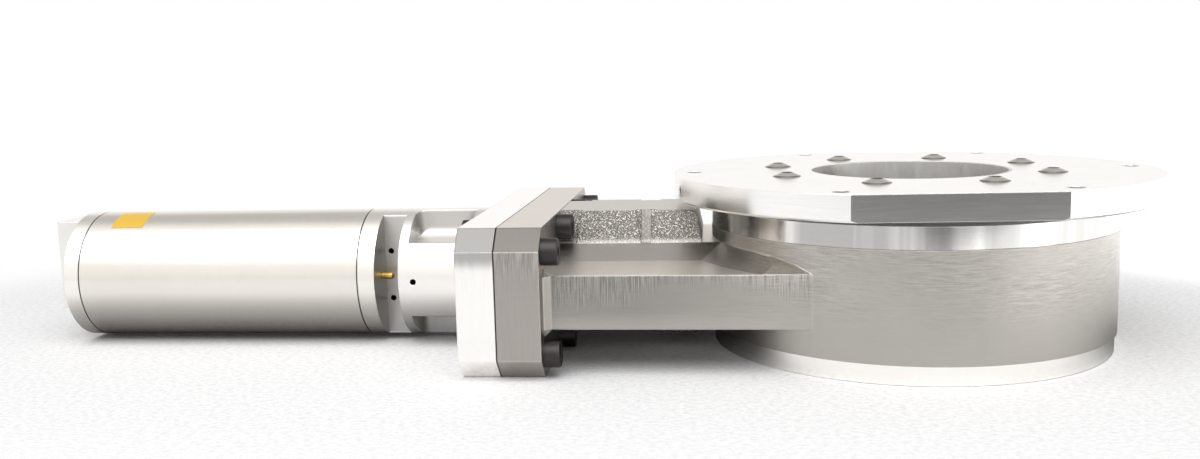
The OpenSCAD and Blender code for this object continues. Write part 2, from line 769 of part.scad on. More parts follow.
module port_block() {
    z0 = axis_z - block_low;
    color([0.8, 0.8, 0.79]) difference() {
        translate([block_x0, -block_w / 2, z0]) cube([block_len, block_w, block_low + block_top]);
        for (side = [-1, 1]) translate([block_x0 - cut, 0, axis_z + air_port_mid + side * air_port_step])
            rotate([0, 90, 0]) cylinder(h = air_port_depth + cut, r = air_port_d / 2);
        translate([block_x0 + air_port_depth - cut, 0,
                  axis_z + air_port_mid + air_port_step]) rotate([0, 90, 0])
            cylinder(h = block_len, r = air_passage_r);
        at_block_screws(cap_x0 + cut) cylinder(h = block_len + 2 * cut, r = m4[0] / 2 + screw_clear);
        at_block_screws(block_x0 + m4[2]) cylinder(h = m4[2] + cut, r = m4[1] / 2 + screw_clear);
    }
}

module block_screws() {
    color([0.12, 0.12, 0.13]) at_block_screws(block_x0 + m4[2])
        cap_screw(m4, block_len - m4[2] + block_screw_grip);
}

module flow_screw() {
    r = flow_d / 2;
    top = flow_len - flow_chamfer;
    color([0.80, 0.62, 0.25]) translate([head_x1, flow_y, flow_z]) rotate([0, 90, 0]) difference() {
        union() {
            translate([0, 0, flow_stand]) cylinder(h = top - flow_stand, r = r, $fn = 48);
            translate([0, 0, top]) cylinder(h = flow_chamfer, r1 = r, r2 = r - flow_chamfer, $fn = 48);
            translate([0, 0, hole_bottom - flow_hole_depth])
                cylinder(h = flow_hole_depth, r = flow_thread_r, $fn = 48);
        }
        translate([-r - cut, -flow_slot / 2, top]) cube([2 * (r + cut), flow_slot, 2 * flow_chamfer]);
    }
}

module label_plate() {
    x0 = barrel_x0 + label_start;
    color([0.95, 0.62, 0.05]) translate([x0, 0, axis_z]) rotate([0, 90, 0])
        rotate([0, 0, 270 - label_low - label_span])
            rotate_extrude(angle = label_span) translate([round_r, 0]) square([label_t, label_len]);
}

module stem() {
    color([0.85, 0.85, 0.86]) union() {
        rod_x(piston_x0 + nut_sink, piston_x1 + stem_step, neck_stem_r);
        rod_x(piston_x1, arm_x0, stem_d / 2);
        rod_x(arm_x0 - stem_step, arm_x0 + stem_tip, neck_stem_r);
    }
}

module piston() {
    color([0.7, 0.7, 0.7]) difference() {
        rod_x(piston_x0, piston_x1, piston_r);
        rod_x(piston_x0 - cut, piston_x1 + cut, neck_stem_r + thread_clear);
        rod_x(piston_x0 - cut, piston_x0 + nut_t + nut_sink, nut_r + nut_room);
        ring_x(piston_x0 + ring_x_in, piston_x0 + ring_x_in + ring_groove, piston_r - ring_depth,
               piston_r + cut);
        ring_x(piston_x1 - ring_x_in - ring_groove, piston_x1 - ring_x_in, piston_r - ring_depth,
               piston_r + cut);
    }
}

module piston_seal() {
    x0 = piston_x0 + ring_x_in;
    color([0.1, 0.1, 0.1])
        ring_x(x0 + seal_gap, x0 + ring_groove - seal_gap, piston_r - ring_depth + seal_gap,
               bore_r - running);
}

module wear_ring() {
    x1 = piston_x1 - ring_x_in;
    color([0.85, 0.82, 0.7])
        ring_x(x1 - ring_groove + seal_gap, x1 - seal_gap, piston_r - ring_depth + seal_gap,
               bore_r - running);
}

module piston_nut() {
    color([0.6, 0.6, 0.6]) difference() {
        translate([piston_x0 + nut_sink, 0, axis_z]) rotate([0, 90, 0])
            cylinder(h = nut_t, r = nut_r, $fn = 6);
        rod_x(piston_x0, piston_x0 + nut_sink + nut_t + cut, neck_stem_r + thread_clear);
    }
}

module carriage() {
    plate_r = gate_r - carriage_inset;
    color([0.62, 0.63, 0.65]) difference() {
        union() {
            translate([-stroke, 0, carriage_z0]) cylinder(h = carriage_t, r = plate_r);
            translate([arm_x0, -arm_w / 2, carriage_z0]) cube([-stroke - arm_x0, arm_w, carriage_t]);
            translate([arm_x0, -arm_w / 2, axis_z - arm_half_h]) cube([arm_len, arm_w, 2 * arm_half_h]);
        }
        rod_x(arm_x0 - cut, arm_x0 + stem_tip + hole_bottom, neck_stem_r + thread_clear);
        translate([-stroke, 0, carriage_z0 - cut])
            on_circle(pin_pcd, pins, pin_turn)
                cylinder(h = carriage_t + 2 * cut, r = pin_d / 2 + thread_clear);
    }
}

module guide_pins() {
    color([0.75, 0.75, 0.76]) translate([-stroke, 0, counter_z0 + pin_sink / 2])
        on_circle(pin_pcd, pins, pin_turn)
            cylinder(h = gate_z0 + pin_sink - counter_z0 - pin_sink / 2 - gate_lift - moving_gap,
                     r = pin_d / 2);
}

module gate_disc() {
    outer = gate_r - groove_rim;
    color([0.75, 0.76, 0.78]) translate([-stroke, 0, 0]) difference() {
        translate([0, 0, gate_z0]) cylinder(h = gate_t, r = gate_r);
        ring_z(gate_z1 - gate_groove_deep, gate_z1 + cut, outer - gate_groove_w, outer);
        translate([0, 0, gate_z0 - cut])
            on_circle(pin_pcd, pins, pin_turn) cylinder(h = pin_sink + cut, r = pin_d / 2 + running);
    }
}

module gate_seal() {
    outer = gate_r - groove_rim - seal_gap;
    inner = gate_r - groove_rim - gate_groove_w + seal_gap;
    color([0.1, 0.1, 0.1]) translate([-stroke, 0, 0])
        ring_z(gate_z1 - gate_groove_deep + seal_gap, gate_z1 + seal_stand, inner, outer);
}

module counter_disc() {
    color([0.7, 0.71, 0.73]) translate([-stroke, 0, 0]) difference() {
        translate([0, 0, counter_z0]) cylinder(h = counter_t, r = gate_r - counter_inset);
        translate([0, 0, counter_z0 - cut])
            on_circle(pin_pcd, pins, pin_turn) cylinder(h = counter_t + 2 * cut, r = pin_d / 2 + running);
    }
}

valve_body();
neck_flange();
top_port_ring();
lower_port_ring();
spacer_ring();
port_seal();
adapter_plate();
adapter_screws();
bonnet_plate();
bonnet_seal();
bonnet_screws();
stem_gland();
gland_seal();
yoke();
yoke_screws();
front_head();
head_bushing();
rod_seal();
head_seal();
front_bumper();
barrel();
rear_cap();
cap_seal();
rear_bumper();
port_block();
block_screws();
flow_screw();
label_plate();
stem();
piston();
piston_seal();
wear_ring();
piston_nut();
carriage();
guide_pins();
gate_disc();
gate_seal();
counter_disc();
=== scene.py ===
"""A pneumatic gate valve on a pale studio floor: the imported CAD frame, its finishes, and the view."""

import math

import bpy
from mathutils import Matrix, Vector


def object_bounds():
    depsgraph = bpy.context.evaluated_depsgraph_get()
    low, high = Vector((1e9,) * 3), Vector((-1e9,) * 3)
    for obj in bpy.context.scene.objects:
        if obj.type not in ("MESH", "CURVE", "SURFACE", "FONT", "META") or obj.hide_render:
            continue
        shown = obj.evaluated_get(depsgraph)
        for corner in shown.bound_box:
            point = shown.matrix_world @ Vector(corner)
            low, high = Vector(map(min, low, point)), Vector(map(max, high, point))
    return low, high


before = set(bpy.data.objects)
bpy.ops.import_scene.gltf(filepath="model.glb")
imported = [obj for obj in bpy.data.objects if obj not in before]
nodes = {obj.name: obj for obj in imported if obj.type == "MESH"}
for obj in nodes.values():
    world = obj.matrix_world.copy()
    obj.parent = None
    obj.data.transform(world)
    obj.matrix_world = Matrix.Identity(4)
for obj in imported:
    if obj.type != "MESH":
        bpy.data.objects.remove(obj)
cad_lo, cad_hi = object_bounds()
scene = bpy.context.scene


# ---- Node helpers -------------------------------------------------------------------------


class Graph:
    """A node tree with short calls for the maths that the finishes share."""

    def __init__(self, tree):
        self.tree = tree
        tree.nodes.clear()

    def add(self, kind, inputs=None, **props):
        node = self.tree.nodes.new(kind)
        for key, value in props.items():
            setattr(node, key, value)
        for key, value in (inputs or {}).items():
            if isinstance(value, bpy.types.NodeSocket):
                self.tree.links.new(value, node.inputs[key])
            else:
                node.inputs[key].default_value = value
        return node

    def math(self, operation, *values, clamp=False):
        """values are one to three numbers or sockets, as many as the operation takes."""
        return self.add("ShaderNodeMath", dict(enumerate(values)), operation=operation, use_clamp=clamp).outputs[0]

    def plus(self, a, b):
        return self.math("ADD", a, b)

    def minus(self, a, b):
        return self.math("SUBTRACT", a, b)

    def times(self, a, b):
        return self.math("MULTIPLY", a, b)

    def absolute(self, value):
        return self.math("ABSOLUTE", value)

    def apart(self, a, b):
        """How far a is from b."""
        return self.absolute(self.minus(a, b))

    def squares(self, a, b):
        """a squared plus b squared."""
        return self.plus(self.times(a, a), self.times(b, b))

    def axes(self, vector):
        return self.add("ShaderNodeSeparateXYZ", {0: vector}).outputs

    def ramp(self, value, low, high, to_low=0.0, to_high=1.0):
        """value taken from low..high to to_low..to_high, smoothly and clamped."""
        return self.add(
            "ShaderNodeMapRange",
            {"Value": value, "From Min": low, "From Max": high, "To Min": to_low, "To Max": to_high},
            interpolation_type="SMOOTHSTEP",
        ).outputs[0]

    def mix(self, factor, a, b):
        """Colour a turning into colour b."""
        return self.add("ShaderNodeMix", {0: factor, 6: a, 7: b}, data_type="RGBA").outputs[2]

    def blend(self, factor, a, b):
        """Shader a turning into shader b."""
        return self.add("ShaderNodeMixShader", {0: factor, 1: a, 2: b}).outputs[0]

    def noise(self, vector, scale, detail=3.0, rough=0.55):
        """Noise in metres: scale is (x, y, z) in cycles per metre."""
        mapped = self.add("ShaderNodeMapping", {"Vector": vector, "Scale": scale})
        return self.add(
            "ShaderNodeTexNoise",
            {"Vector": mapped.outputs[0], "Scale": 1.0, "Detail": detail, "Roughness": rough},
        ).outputs[0]


def rgba(colour, gain=1.0):
    return tuple(min(1.0, c * gain) for c in colour) + (1.0,)


def new_material(name):
    """A material with its graph, its shader, and the socket that its surface goes into."""
    material = bpy.data.materials.new(name)
    material.use_nodes = True
    graph = Graph(material.node_tree)
    shader = graph.add("ShaderNodeBsdfPrincipled")
    surface = graph.add("ShaderNodeOutputMaterial").inputs["Surface"]
    graph.tree.links.new(shader.outputs[0], surface)
    return material, graph, shader, surface


def edge_wear_and_highlight(graph, radius):
    """(1 on an outer or inner edge, where wear and a painted highlight go, and the normal that rounds it off)."""
    bevel = graph.add("ShaderNodeBevel", {"Radius": radius}, samples=4)
    normal = graph.add("ShaderNodeNewGeometry").outputs["Normal"]
    facing = graph.add("ShaderNodeVectorMath", {0: bevel.outputs[0], 1: normal}, operation="DOT_PRODUCT")
    return graph.ramp(facing.outputs["Value"], 0.995, 0.90), bevel.outputs[0]


def metal(
    name,
    colour,
    rough,
    grain=(40, 40, 1500),
    tone=0.10,
    depth=0.00002,
    mottle=0.08,
    spread=0.10,
    edge=0.5,
    edge_radius=0.0004,
    aniso=0.0,
    axis="Z",
    patches=(),
):
    """A machined or cast metal. grain is the finest line pattern, tone how much it shades the colour, depth its relief
    in metres; mottle is the cloudy variation, spread the change of roughness, and edge how much lighter its edges
    are painted, for wear and as a painted highlight.
    Each of patches is a function of (graph, object coordinates, normal) that gives (mask, tone, relief, depth), or
    (mask, factor, None, roughness) to multiply the colour and add to the roughness."""
    material, graph, shader, _ = new_material(name)
    where = graph.add("ShaderNodeTexCoord").outputs["Object"]
    lines = graph.noise(where, grain, 4.0, 0.65)
    cloud = graph.noise(where, (22, 22, 22), 4.0, 0.6)
    level = graph.math("MULTIPLY_ADD", lines, 2 * tone, 0.5 - tone)
    level = graph.plus(level, graph.math("MULTIPLY_ADD", cloud, 2 * mottle, -mottle))
    height = graph.times(lines, depth)
    normal = graph.add("ShaderNodeNewGeometry").outputs["Normal"]
    roughness = graph.math("MULTIPLY_ADD", graph.minus(lines, 0.5), spread, rough)
    gain = 1.0
    for patch in patches:
        mask, patch_tone, relief, patch_depth = patch(graph, where, normal)
        # Patches without relief multiply the colour: most of them are painted shade, painted light or painted
        # reflections.
        if relief is None:
            gain = graph.times(gain, graph.ramp(mask, 0.0, 1.0, 1.0, patch_tone))
            roughness = graph.plus(roughness, graph.times(mask, patch_depth))
            continue
        centred = graph.minus(relief, 0.5)
        level = graph.plus(level, graph.times(mask, graph.times(centred, patch_tone)))
        height = graph.plus(height, graph.times(mask, graph.times(centred, patch_depth)))
    worn_and_lit, rounded = edge_wear_and_highlight(graph, edge_radius)
    # Edges painted lighter: wear, and a painted highlight.
    level = graph.math("ADD", level, graph.times(worn_and_lit, edge), clamp=True)
    gain = graph.times(gain, graph.plus(graph.times(level, 0.9), 0.55))
    tinted = graph.add("ShaderNodeVectorMath", {0: colour, "Scale": gain}, operation="SCALE").outputs[0]
    tinted = graph.add("ShaderNodeVectorMath", {0: tinted, 1: (1.0, 1.0, 1.0)}, operation="MINIMUM").outputs[0]
    bump = graph.add("ShaderNodeBump", {"Strength": 1.0, "Distance": 1.0, "Height": height, "Normal": rounded})
    links = graph.tree.links
    links.new(tinted, shader.inputs["Base Color"])
    links.new(roughness, shader.inputs["Roughness"])
    links.new(bump.outputs[0], shader.inputs["Normal"])
    shader.inputs["Metallic"].default_value = 1.0
    if aniso:
        shader.inputs["Anisotropic"].default_value = aniso
        tangent = graph.add("ShaderNodeTangent", direction_type="RADIAL", axis=axis)
        links.new(tangent.outputs[0], shader.inputs["Tangent"])
    return material


def soft(name, colour, rough, speckle=0.10, size=900.0, depth=0.00003, coat=0.0):
    """Rubber, plastic and printed film."""
    material, graph, shader, _ = new_material(name)
    where = graph.add("ShaderNodeTexCoord").outputs["Object"]
    fine = graph.noise(where, (size, size, size), 3.0)
    cloud = graph.noise(where, (60, 60, 60), 3.0)
    level = graph.plus(graph.times(fine, speckle), graph.times(cloud, speckle))
    level = graph.math("ADD", level, 0.5 - speckle, clamp=True)
    tinted = graph.mix(level, rgba(colour, 0.7), rgba(colour, 1.3))
    bump = graph.add("ShaderNodeBump", {"Strength": 1.0, "Distance": depth, "Height": fine})
    links = graph.tree.links
    links.new(tinted, shader.inputs["Base Color"])
    links.new(bump.outputs[0], shader.inputs["Normal"])
    links.new(graph.ramp(fine, 0.3, 0.7, rough - 0.06, rough + 0.06), shader.inputs["Roughness"])
    if coat:
        shader.inputs["Coat Weight"].default_value = coat
    return material


# ---- Places on the object, in metres --------------------------------------------------------

AXIS_Z = 0.036  # height of the cylinder's axis and of the neck's middle
DRUM_START = -0.088  # x where the round drum takes over from the neck
NECK_END = (-0.055, -0.059)  # x over which the neck's flat sides begin
NOTCH_X, NOTCH_HALF = -0.1368, 0.0030  # the notch between the pads
BORE_WALL = 0.0515  # everything nearer to the port's axis is the bore's wall
FLAT_Y = 0.108  # the adapter plate's flats lie beyond this
CUT_START, CUT_FULL = 0.0341, 0.0335  # radii at which the shade in the yoke's cuts begins and is full
YOKE_HOLE = 0.0016  # radius of the yoke's small blind holes
BUTTONS, BUTTON_CIRCLE, BUTTON_TURN = 8, 0.071, 24.2  # how many, radius of their circle, first one's angle
BUTTON_SOCKET = 0.0031  # radius of their hexagon sockets
BUTTON_FOOT = (0.08930, 0.08895)  # heights over which the shadow round their feet begins
LOWER_SEAM_Z = 0.0093
TOP_SEAM_Z = 0.062
FLANGE_SEAM_X = -0.2035
HEAD_SEAM_X = -0.290
CAP_SEAM_X = -0.4455


# ---- Patches: finish, painted shade and painted light that change with place and direction ---


def faces_y(graph, normal, low=0.80, high=0.95):
    """1 where the surface faces along Y, either way."""
    return graph.ramp(graph.absolute(graph.axes(normal)[1]), low, high)


def stands(graph, normal, low=0.85, high=0.75):
    """1 where the surface stands upright."""
    return graph.ramp(graph.absolute(graph.axes(normal)[2]), low, high)


def lies_flat(graph, normal):
    """1 where the surface faces straight up."""
    return graph.ramp(graph.axes(normal)[2], 0.97, 0.995)


def neck_side(graph, x, normal):
    """1 on the neck's flat front and back."""
    return graph.times(faces_y(graph, normal), graph.ramp(x, *NECK_END))


def seam_shade(axis, place, half=0.00025, dark=0.10):
    """Painted shade: the thin dark line where two parts meet, on the plane where that axis is at place."""

    def patch(graph, where, normal):
        return graph.ramp(graph.apart(graph.axes(where)[axis], place), 2 * half, half), dark, None, 0.1

    return patch


def blind_hole_shade(hole_x, hole_y, hole_z):
    """Painted shade inside one of the yoke's small blind holes, which runs along Y from its mouth."""

    def patch(graph, where, normal):
        x, y, z = graph.axes(where)
        off = graph.squares(graph.minus(x, hole_x), graph.minus(z, hole_z))
        near = graph.ramp(off, (YOKE_HOLE * 1.15) ** 2, (YOKE_HOLE * 1.05) ** 2)
        return graph.times(near, graph.math("GREATER_THAN", y, hole_y)), 0.08, None, 0.3

    return patch


def cast_grit(graph, where, normal):
    """The shot-blasted sides of the raised pads, above and below the neck. The core in the notch stays smooth."""
    x, y, z = graph.axes(where)
    high = graph.ramp(graph.apart(z, AXIS_Z), 0.0200, 0.0225)
    left = graph.ramp(x, -0.098, -0.104)
    core_x = graph.ramp(graph.apart(x, NOTCH_X), NOTCH_HALF, NOTCH_HALF - 0.0008)
    core = graph.times(core_x, graph.ramp(graph.absolute(y), 0.0272, 0.0262))
    pads = graph.times(graph.times(stands(graph, normal), high), left)
    relief = graph.noise(where, (1250, 1250, 1250), 2.0, 0.7)
    return graph.math("SUBTRACT", pads, core, clamp=True), 1.35, graph.ramp(relief, 0.41, 0.59), 0.00026


def grit_shade(graph, where, normal):
    """The same sides, a little darker and rougher."""
    return cast_grit(graph, where, normal)[0], 0.95, None, 0.08


def notch_shade(graph, where, normal):
    """Painted shade on the smooth core in the notch between the pads."""
    x, _, z = graph.axes(where)
    high = graph.ramp(z, 0.0555, 0.0575)
    near = graph.ramp(graph.apart(x, NOTCH_X), NOTCH_HALF + 0.0002, NOTCH_HALF - 0.0006)
    return graph.times(graph.times(near, high), stands(graph, normal)), 0.62, None, 0.05


def neck_shade(graph, where, normal):
    """Painted shade on the neck's sides, darker towards the bonnet and lighter low down."""
    x, _, z = graph.axes(where)
    reach = graph.ramp(x, -0.055, -0.175, 0.25, 1.0)
    upper = graph.ramp(z, 0.023, 0.034, 0.35, 1.0)
    return graph.times(neck_side(graph, x, normal), graph.times(reach, upper)), 0.70, None, 0.0


def neck_marks(graph, where, normal):
    """Vertical grinding marks down the neck's front and back: long near the bonnet, short in the middle."""
    x, _, z = graph.axes(where)
    relief = graph.noise(where, (1500, 1500, 50), 4.0, 0.75)
    wander = graph.noise(where, (420, 420, 5), 3.0, 0.7)
    near_bonnet = graph.ramp(x, -0.120, -0.150, 0.0, 0.010)
    near_drum = graph.ramp(x, -0.090, -0.070, 0.0, 0.006)
    reach = graph.plus(graph.plus(z, near_bonnet), near_drum)
    reach = graph.minus(reach, graph.times(wander, 0.016))
    upper = graph.ramp(reach, 0.033, 0.042)
    return graph.times(neck_side(graph, x, normal), upper), 0.70, graph.ramp(relief, 0.36, 0.64), 0.00004


def neck_lines(graph, where, normal):
    """Fine lines along the neck's sides."""
    x = graph.axes(where)[0]
    return neck_side(graph, x, normal), 0.22, graph.noise(where, (45, 700, 1700), 3.0, 0.7), 0.00001


def drum_streaks(graph, where, normal):
    """Short horizontal grinding marks round the drum, strongest in its upper half."""
    x, _, z = graph.axes(where)
    relief = graph.noise(where, (110, 110, 2000), 4.0, 0.75)
    upper = graph.ramp(z, 0.022, 0.044, 0.12, 1.0)
    patchy = graph.ramp(graph.noise(where, (25, 25, 60), 2.0), 0.35, 0.65, 0.35, 1.0)
    side = graph.ramp(x, DRUM_START - 0.004, DRUM_START + 0.004)
    return graph.times(graph.times(side, upper), patchy), 0.42, graph.ramp(relief, 0.34, 0.66), 0.00003


def top_dullness_and_painted_light(graph, where, normal):
    """The casting's flat tops: a little rougher than the sides, with painted light that makes them paler, palest on
    the neck's long ledges.
    """
    low = graph.ramp(graph.axes(where)[2], 0.064, 0.056, 0.45, 1.0)
    return graph.times(lies_flat(graph, normal), low), 2.0, None, 0.04


def flange_top_painted_light(graph, where, normal):
    """Painted light on the neck flange's top face, which is paler than its sides and a little rougher."""
    return lies_flat(graph, normal), 2.0, None, 0.04


def face_marks(graph, where, normal):
    """Vertical grinding marks at the top of the neck flange's narrow front and back faces."""
    relief = graph.noise(where, (1900, 1900, 60), 4.0, 0.75)
    wander = graph.noise(where, (500, 500, 5), 3.0, 0.7)
    reach = graph.minus(graph.axes(where)[2], graph.times(wander, 0.022))
    upper = graph.ramp(reach, 0.034, 0.048)
    return graph.times(faces_y(graph, normal), upper), 0.60, graph.ramp(relief, 0.36, 0.64), 0.00003


def dull_chamfers_painted_shade(dark):
    """Painted shade on the sawn chamfers that face upwards, which are also a little rougher than the ground faces."""

    def patch(graph, where, normal):
        up = graph.axes(normal)[2]
        return graph.times(graph.ramp(up, 0.4, 0.5), graph.ramp(up, 0.9, 0.8)), dark, None, 0.05

    return patch


def top_shadow(graph, where, normal):
    """Painted shadow: a darker, rougher band along the top of the bonnet's front and back faces, with an uneven lower
    edge.
    """
    wander = graph.noise(where, (260, 260, 0.1), 3.0, 0.6)
    reach = graph.minus(graph.axes(where)[2], graph.times(wander, 0.006))
    return graph.times(faces_y(graph, normal, 0.90, 0.98), graph.ramp(reach, 0.0475, 0.0575)), 0.50, None, 0.1


def sunk_shade(graph, where, normal):
    """Everything cut into the yoke: the pockets' and the slot's walls, with painted shade, and rougher than its round
    face.
    """
    _, y, z = graph.axes(where)
    inward = graph.ramp(graph.squares(y, graph.minus(z, AXIS_Z)), CUT_START**2, CUT_FULL**2)
    return inward, 0.62, None, 0.16


def head_face_shade(graph, where, normal):
    """Painted shade on the head's flat face towards the yoke, which is also rougher."""
    return graph.ramp(graph.axes(normal)[0], 0.8, 0.95), 0.42, None, 0.15


def bore_wall_shade(graph, where, normal):
    """The wall of the port bore: rougher than the faces, with painted shade in upright bands everywhere but its left
    end.
    """
    x, y, _ = graph.axes(where)
    left = graph.ramp(x, -0.042, -0.020)
    grain = graph.ramp(graph.noise(where, (190, 190, 0.1), 3.0, 0.6), 0.35, 0.65, 0.6, 1.0)
    inside = graph.math("LESS_THAN", graph.squares(x, y), BORE_WALL**2)
    return graph.times(inside, graph.times(left, grain)), 0.72, None, 0.35


def painted_reflection_bands(graph, where, normal):
    """Painted reflections: broad upright bands of light and dark round a turned ring."""
    bands = graph.ramp(graph.noise(where, (48, 48, 0.1), 3.0, 0.5), 0.36, 0.56)
    return graph.times(stands(graph, normal, 0.2, 0.1), bands), 0.52, None, 0.0


def flats_painted_reflection(graph, where, normal):
    """The adapter plate's two milled flats, with a painted dark reflection that makes them darker than its turned rim.
    """
    out = graph.math("GREATER_THAN", graph.absolute(graph.axes(where)[1]), FLAT_Y)
    return graph.times(faces_y(graph, normal, 0.995, 0.9993), out), 0.62, None, 0.0


def button_head_shade(graph, where, normal):
    """Painted shade in the button screws' hexagon sockets, and a thin painted shadow round the foot of each head."""
    x, y, z = graph.axes(where)
    sockets = 0.0
    for step in range(BUTTONS):
        turn = math.radians(BUTTON_TURN + 360 * step / BUTTONS)
        off_x = graph.minus(x, BUTTON_CIRCLE * math.cos(turn))
        off_y = graph.minus(y, BUTTON_CIRCLE * math.sin(turn))
        socket = graph.math("LESS_THAN", graph.squares(off_x, off_y), BUTTON_SOCKET**2)
        sockets = graph.plus(sockets, socket)
    return graph.math("MAXIMUM", sockets, graph.ramp(z, *BUTTON_FOOT)), 0.22, None, 0.1


# ---- Finishes, one for each material slot ---------------------------------------------------

METALS = {
    "cast_aluminium": dict(
        colour=(0.47, 0.448, 0.418), rough=0.36, grain=(60, 60, 700), tone=0.04, depth=0.00001,
        mottle=0.10, spread=0.08, edge=0.35, edge_radius=0.0010,
        patches=(cast_grit, grit_shade, notch_shade, drum_streaks, neck_marks, neck_lines, neck_shade, top_dullness_and_painted_light),
    ),
    "ground_aluminium": dict(
        colour=(0.41, 0.385, 0.36), rough=0.34, grain=(1300, 1300, 60), tone=0.12, depth=0.00001,
        mottle=0.08, spread=0.08, edge=0.6, edge_radius=0.0012,
        patches=(face_marks, dull_chamfers_painted_shade(0.39), flange_top_painted_light, seam_shade(0, FLANGE_SEAM_X)),
    ),
    "turned_aluminium": dict(
        colour=(0.90, 0.88, 0.85), rough=0.17, grain=(60, 60, 1500), tone=0.05, depth=0.000004,
        mottle=0.05, spread=0.06, edge=0.3,
    ),
    "plate_aluminium": dict(
        colour=(0.98, 0.97, 0.95), rough=0.18, grain=(45, 45, 1300), tone=0.08, depth=0.000005,
        mottle=0.04, spread=0.06, edge=0.35, edge_radius=0.0005, patches=(flats_painted_reflection, bore_wall_shade),
    ),
    "dark_aluminium": dict(colour=(0.22, 0.22, 0.22), rough=0.5),
    "barrel_aluminium": dict(
        colour=(0.88, 0.845, 0.79), rough=0.22, grain=(1500, 90, 90), tone=0.05, depth=0.000003,
        mottle=0.05, spread=0.05, edge=0.2, aniso=0.5, axis="X",
        patches=(seam_shade(0, HEAD_SEAM_X), seam_shade(0, CAP_SEAM_X)),
    ),
    "stainless_screws": dict(
        colour=(0.74, 0.71, 0.67), rough=0.22, grain=(500, 500, 500), tone=0.12, depth=0.00001,
        mottle=0.2, spread=0.15, edge=0.6, edge_radius=0.0005, patches=(button_head_shade,),
    ),
    "black_screws": dict(
        colour=(0.055, 0.053, 0.052), rough=0.42, grain=(900, 900, 900), tone=0.25, depth=0.00004,
        mottle=0.25, spread=0.15, edge=0.9, edge_radius=0.0005,
    ),
    "bearing_bronze": dict(colour=(0.50, 0.34, 0.17), rough=0.35),
    "brass_screw": dict(
        colour=(0.78, 0.50, 0.12), rough=0.24, grain=(1500, 300, 300), tone=0.12, depth=0.00001,
        mottle=0.1, edge_radius=0.0003, spread=0.08,
    ),
    "stem_steel": dict(colour=(0.62, 0.62, 0.63), rough=0.14, grain=(1500, 60, 60), tone=0.06, depth=0.000004),
    "piston_aluminium": dict(
        colour=(0.62, 0.62, 0.62), rough=0.30, grain=(1500, 60, 60), tone=0.08, depth=0.000008,
    ),
    "nut_steel": dict(colour=(0.50, 0.50, 0.50), rough=0.32, grain=(500, 500, 500), tone=0.1),
    "carriage_steel": dict(colour=(0.46, 0.46, 0.47), rough=0.34, grain=(70, 900, 900), tone=0.1),
    "gate_aluminium": dict(colour=(0.66, 0.66, 0.66), rough=0.26, grain=(900, 900, 60), tone=0.08),
}

SOFTS = {
    "seal_rubber": dict(colour=(0.018, 0.018, 0.019), rough=0.55),
    "bumper_rubber": dict(colour=(0.03, 0.03, 0.032), rough=0.60),
    "wear_plastic": dict(colour=(0.62, 0.56, 0.44), rough=0.45),
    "yellow_label": dict(colour=(0.92, 0.50, 0.03), rough=0.35, speckle=0.08, size=500.0, depth=0.00002, coat=0.4),
}

FINISHES = {name: metal(name, **look) for name, look in METALS.items()}
FINISHES.update((name, soft(name, **look)) for name, look in SOFTS.items())

# Nodes whose finish differs a little from the rest of their slot
SPECIAL = {
    "bonnet_plate": metal(
        "bonnet_aluminium", colour=(1.0, 0.985, 0.96), rough=0.16, grain=(1300, 1300, 60), tone=0.05, depth=0.000004,
        mottle=0.03, spread=0.05, edge=0.4, edge_radius=0.0008,
        patches=(dull_chamfers_painted_shade(0.19), top_shadow, seam_shade(0, FLANGE_SEAM_X)),
    ),
    "yoke": metal(
        "yoke_aluminium", colour=(0.97, 0.95, 0.92), rough=0.25, grain=(1500, 90, 90), tone=0.04, depth=0.000003,
        mottle=0.04, spread=0.05, edge=0.3, aniso=0.4, axis="X",
        patches=(
            sunk_shade,
            blind_hole_shade(-0.2774, -0.0112, 0.049),
            blind_hole_shade(-0.2774, -0.0112, 0.023),
            blind_hole_shade(-0.2597, -0.0343, AXIS_Z),
        ),
    ),
    "front_head": metal(
        "head_aluminium", colour=(0.95, 0.92, 0.87), rough=0.28, grain=(60, 900, 900), tone=0.05, depth=0.000004,
        mottle=0.05, spread=0.05, edge=0.3, patches=(head_face_shade, seam_shade(0, HEAD_SEAM_X)),
    ),
    "rear_cap": metal(
        "cap_aluminium", colour=(0.98, 0.95, 0.91), rough=0.24, grain=(1500, 90, 90), tone=0.05, depth=0.000004,
        mottle=0.05, spread=0.05, edge=0.3, patches=(seam_shade(0, CAP_SEAM_X),),
    ),
    "lower_port_ring": metal(
        "lower_ring_aluminium", colour=(1.0, 0.985, 0.95), rough=0.18, grain=(60, 60, 1500), tone=0.05, depth=0.000004,
        mottle=0.04, spread=0.05, edge=0.3, edge_radius=0.0005, patches=(seam_shade(2, LOWER_SEAM_Z),),
    ),
    "top_port_ring": metal(
        "top_ring_aluminium", colour=(0.98, 0.965, 0.94), rough=0.15, grain=(60, 60, 1500), tone=0.05, depth=0.000004,
        mottle=0.04, spread=0.05, edge=0.3, edge_radius=0.0005,
        patches=(seam_shade(2, TOP_SEAM_Z, 0.00015, 0.5), painted_reflection_bands, bore_wall_shade),
    ),
}

for name, obj in nodes.items():
    for spot in obj.material_slots:
        spot.material = SPECIAL.get(name) or FINISHES[spot.material.name.split(".")[0]]


# ---- Studio: floor, world, lamp -------------------------------------------------------------

FLOOR_GAP = 0.0002  # how far the floor is below the lowest face
FLOOR_BACK, FLOOR_ROWS = 3.0, 6
FLOOR_FRONT = (  # its front edge, as (x, y)
    (-3.2, -1.1), (-1.0, -1.1), (-0.35, -1.05), (-0.12, -0.75), (0.05, -0.50), (0.5, -0.50), (1.4, -0.6), (3.0, -0.6),
)
FLOOR_PAPER = (0.80, 0.79, 0.80, 1), (0.97, 0.97, 0.97, 1)  # between the fibres, and on them
RIGHT_WHITE = 1.9  # strength of the white background at the right, 1.0 elsewhere
